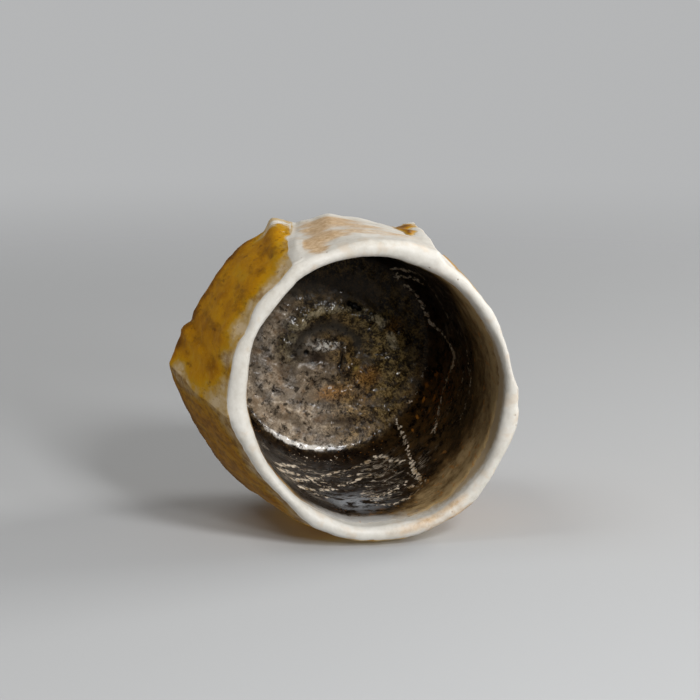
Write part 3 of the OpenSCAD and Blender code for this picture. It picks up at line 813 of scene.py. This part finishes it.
f.over((f.mark("light") * (0.5 + broad)).clear(0.1, 0.8) * 0.95, stone)
f.over(warm * (blotch * 1.6).clear(0.3, 0.95) * 0.85,
       f.ramp(fleck, (0.44, (0.014, 0.007, 0.002)), (0.5, (0.145, 0.088, 0.028)), (0.58, (0.48, 0.3, 0.105))))
calm = f.noise(3.6, 3, 0.6, seed=81.0).clear(0.5, 0.6)
f.over(calm * on_flat * 0.55, (0.225, 0.168, 0.11))
# Painted shade along the furrows of the turned lines.
f.over(f.mark("furrow") * (0.3 + broad * 0.7) * 0.62, (0.055, 0.042, 0.03))
f.over(f.mark("olive") * (0.35 + grain) * 0.8,
       f.ramp(fleck, (0.45, (0.009, 0.006, 0.002)), (0.5, (0.07, 0.05, 0.014)), (0.57, (0.31, 0.23, 0.085))))
# The spiral's ridge is pale. The groove, the hollows and the pits are painted dark as shade, smooth in the groove.
# The crest is nearly white, partly a paler glaze and partly a painted highlight, and the floor's lower edge is a
# painted white highlight.
f.over((f.mark("raised") * (grain * 0.9 + blotch)).clear(0.45, 0.95) * 0.75,
       f.ramp(fleck, (0.42, (0.21, 0.16, 0.075)), (0.57, (0.74, 0.62, 0.38))))
f.over(f.mark("smooth_top") * 0.7, (0.125, 0.104, 0.078))
f.over(f.mark("groove") * (0.75 + blotch * 0.3), (0.04, 0.034, 0.025))
f.over((f.mark("rust") * (blotch * 1.2 + grain * 0.6)).clear(0.35, 1.1) * 0.75,
       f.ramp(grain, (0.4, (0.1, 0.04, 0.008)), (0.6, (0.42, 0.2, 0.045))))
f.over(f.mark("sunk") * 0.9, (0.024, 0.014, 0.009))
# The crest: partly a paler glaze and partly a painted highlight.
f.over(f.mark("crest").clear(0.2, 0.8) * fleck.clear(0.44, 0.52) * 0.9, (0.8, 0.75, 0.66))
f.over((f.mark("edge") * (0.35 + grain * 1.3)).clear(0.42, 0.85) * 0.85, (0.78, 0.73, 0.66))
f.over(f.mark("pit").clear(0.14, 0.5), (0.004, 0.003, 0.002))
black = f.noise(1.2, 3, 0.6, seed=17.0).clear(0.56, 0.64)
f.over(black * 0.8 * (1 - f.mark("smooth_top") * 0.7), (0.012, 0.008, 0.005))
# Pale ash: the drawn drips and runs broken into beads, dots by the floor, and threads where a pattern drawn out
# round the wall passes through certain levels.
thread = f.noise(4.2, 4, 0.6, (0.26, 0.26, 1), seed=31.0, spread=0.5)
thread_two = f.noise(2.6, 4, 0.65, (0.4, 0.4, 1), seed=37.0, spread=1.0)
lines = thread.near(0.5, 0.004, 0.012).most(thread.near(0.44, 0.003, 0.013)).most(thread.near(0.56, 0.003, 0.013))
lace = thread_two.near(0.47, 0.004, 0.03) * f.mark("lace").clear(0.15, 0.5)
threads = (lines * 0.8 * f.noise(6, 3, 0.6, seed=41.0).clear(0.5, 0.62)).most(lace) * f.mark("streaky")
crumbs = f.noise(0.33, 2, 0.6, (0.7, 0.7, 1), seed=61.0)
beaded = f.noise(0.7, 2, 0.5, seed=91.0)
drawn = ((ash_there * 0.85 + (beaded - 0.5) * 1.9 + (grain - 0.5) * 0.5).clear(0.38, 0.66)
         * ash_there.clear(0.08, 0.35))
dots = (f.mark("dotted") * 0.16 + f.noise(0.6, 2, 0.5, seed=93.0)).clear(0.78, 0.84)
pale = drawn.most(dots).most(threads * (crumbs * 0.6 + grain * 0.4).clear(0.34, 0.5))
f.over(pale * 0.95, f.ramp(blotch + glaze_thin * -0.25, (0.38, (0.36, 0.24, 0.115)), (0.54, (0.92, 0.79, 0.62))))
# Rust on the wall's right side, with orange specks, a pale blue-grey patch below, and one fleck of gold.
f.over(f.mark("rusty") * blotch.clear(0.4, 0.6) * 0.9 * (1 - pale), (0.17, 0.088, 0.024))
f.over((f.mark("rusty") * 0.25 + f.noise(0.8, 3, 0.6, seed=71.0)).clear(0.76, 0.86) * 0.85, (0.28, 0.095, 0.012))
specks = (1 - f.cells(0.8, seed=3.0).clear(0.1, 0.25)) * f.noise(3.5, 2, seed=5.0).clear(0.5, 0.65)
f.over(specks * 0.7 * (1 - on_flat * 0.5), (0.3, 0.115, 0.02))
f.over(f.mark("patch") * f.noise(1.6, 4, 0.7, (0.4, 0.4, 1), seed=51.0).clear(0.46, 0.54), (0.36, 0.375, 0.39))
f.over(f.mark("gold").least(1.0) * (grain * 1.8).least(1.0), (0.55, 0.38, 0.1))
# Towards the lip the glaze is thin, and turns brown, tan and then the slip's own colour.
ragged = ((f.noise(1.2, 4, 0.7, seed=21.0) - 0.5) * 0.8
          + (f.noise(2.6, 4, 0.65, (0.4, 0.4, 1), seed=22.0) - 0.5) * 1.6) * glaze_thin.clear(0.0, 0.2)
thinness = glaze_thin + ragged
f.over(thinness.clear(0.05, 0.65), (0.115, 0.064, 0.022))
f.over(thinness.clear(0.45, 1.1), (0.37, 0.255, 0.12))
# A painted grey reflection on the lower wall just inside the lip.
bleached = f.mark("bleached")
f.over((bleached + (blotch - 0.5) * 0.8).clear(0.15, 0.8) * bleached.clear(0.0, 0.2), (0.4, 0.385, 0.36))
f.over(f.mark("ember").clear(0.2, 0.7), (0.5, 0.19, 0.025))
f.over(glaze_thin.clear(0.05, 0.4) * f.noise(1.6, 3, 0.6, seed=44.0).clear(0.6, 0.68) * 0.8, (0.34, 0.15, 0.035))
glossy = ((f.mark("sparkly").most(f.mark("edge")) * 0.75 + on_flat * 0.22 + 0.05)
          * (1 - (f.mark("groove") * 1.5).least(1.0)))
f.give(Base_Color=f.colour, Coat_Weight=glossy,
       Roughness=(0.3 + (blotch - 0.5) * 0.3 + pale * 0.15 + glaze_thin.clear(0.2, 1.0) * 0.25
                  + f.mark("groove") * 0.3))
f.relief((f.noise(1.6, 2, 0.5, seed=6.0), 0.14), (f.noise(0.5, 2, 0.5, seed=8.0), 0.045),
         (f.noise(0.8, 2, 0.5, seed=9.0) * f.mark("edge").most(f.mark("sparkly")), 0.2), (pale, 0.06))
f.put_on(dark_glaze, "dark_glaze", "dark_glaze")


# The stage is a pale table under the cup as it lies in the photograph, lit by soft lamps, with a plain pale room
# round it. The table only shows: it lights and shades nothing, and it is clear from behind and fades away from the
# cup, for views of the standing cup.
cup_middle = Vector((0, 0, 0.025))
table_tilt = np.radians(11)
table_gap = 0.0002
table_half = 12.0
up_way = from_camera @ Vector((0, np.cos(table_tilt), np.sin(table_tilt)))
reach = (skin.reshape(-1, 3) @ np.array(up_way)).min() * mm
side_way = (from_camera @ Vector((1, 0, 0))).normalized()
side_way = (side_way - up_way * side_way.dot(up_way)).normalized()
far_way = up_way.cross(side_way)
table_mid = up_way * (reach - table_gap) + cup_middle - up_way * up_way.dot(cup_middle)
corners = [table_mid + side_way * a * table_half + far_way * b * table_half
           for a, b in ((-1, -1), (1, -1), (1, 1), (-1, 1))]
table_mesh = bpy.data.meshes.new("table")
table_mesh.from_pydata([tuple(p) for p in corners], [], [(0, 1, 2, 3)])
table = add("table", table_mesh)
table_paint = bpy.data.materials.new("table_paint")
table_paint.use_nodes = True
tree = table_paint.node_tree
paint = tree.nodes["Principled BSDF"]
paint.inputs["Base Color"].default_value = (0.5, 0.51, 0.52, 1)
paint.inputs["Roughness"].default_value = 0.8
paint.inputs["Specular IOR Level"].default_value = 0.1
on_table = node(tree, "ShaderNodeTexCoord", output=3)
far_off = node(tree, "ShaderNodeVectorMath", {"operation": "LENGTH"}, {0: on_table}, output=1)
from_behind = node(tree, "ShaderNodeNewGeometry", output=6)
seen_through = from_behind.most(far_off.clear(0.1, 0.55))
clear_paint = node(tree, "ShaderNodeMixShader", {}, {0: seen_through, 2: node(tree, "ShaderNodeBsdfTransparent")})
tree.links.new(paint.outputs[0], clear_paint.link.node.inputs[1])
tree.links.new(clear_paint.link, tree.nodes["Material Output"].inputs["Surface"])
table_mesh.materials.append(table_paint)
for ray in ("diffuse", "glossy", "transmission", "shadow"):
    setattr(table, "visible_" + ray, False)

# The room is dim as a light and pale to the camera.
world = bpy.data.worlds.new("room")
bpy.context.scene.world = world
world.use_nodes = True
tree = world.node_tree
seen = node(tree, "ShaderNodeMix", {"data_type": "RGBA"}, {0: node(tree, "ShaderNodeLightPath"), 6: (0.12, 0.12, 0.12),
                                                           7: (0.46, 0.465, 0.47)}, output=2)
tree.links.new(seen.link, tree.nodes["Background"].inputs["Color"])


def lamp(name, way, away_m, size, watts, colour=(1, 1, 1)):
    """A soft square lamp that looks at the cup from a direction given in the camera's right, up and back."""
    way = (from_camera @ Vector(way)).normalized()
    data = bpy.data.lights.new(name, "AREA")
    data.shape, data.size, data.energy, data.color = "SQUARE", size, watts, colour
    turned_to_cup = way.to_track_quat("Z", "Y").to_matrix().to_4x4()
    add(name, data).matrix_world = Matrix.Translation(cup_middle + way * away_m) @ turned_to_cup


lamp("window", (0.8, 0.6, -0.25), 0.6, 0.25, 1.6, (1, 0.98, 0.95))
lamp("mouth_light", (0.4, 0.44, 0.8), 0.6, 0.13, 1.75)
lamp("front_light", (0.4, 0.16, 0.9), 0.6, 0.07, 0.9)
lamp("side_light", (0.7, 0.12, 0.69), 0.6, 0.09, 0.8)
lamp("overhead", (-0.45, 0.86, 0.25), 0.7, 0.3, 1.1, (1, 0.97, 0.92))
lamp("left_fill", (-0.95, -0.12, 0.15), 0.8, 0.6, 1.75)
lamp("from_below", (-0.1, -0.93, 0.12), 0.8, 0.6, 1.3)
lamp("behind", (0.4, 0.2, -0.9), 0.8, 0.6, 0.8)
lamp("right_fill", (0.97, -0.25, -0.05), 0.8, 0.6, 1.8)
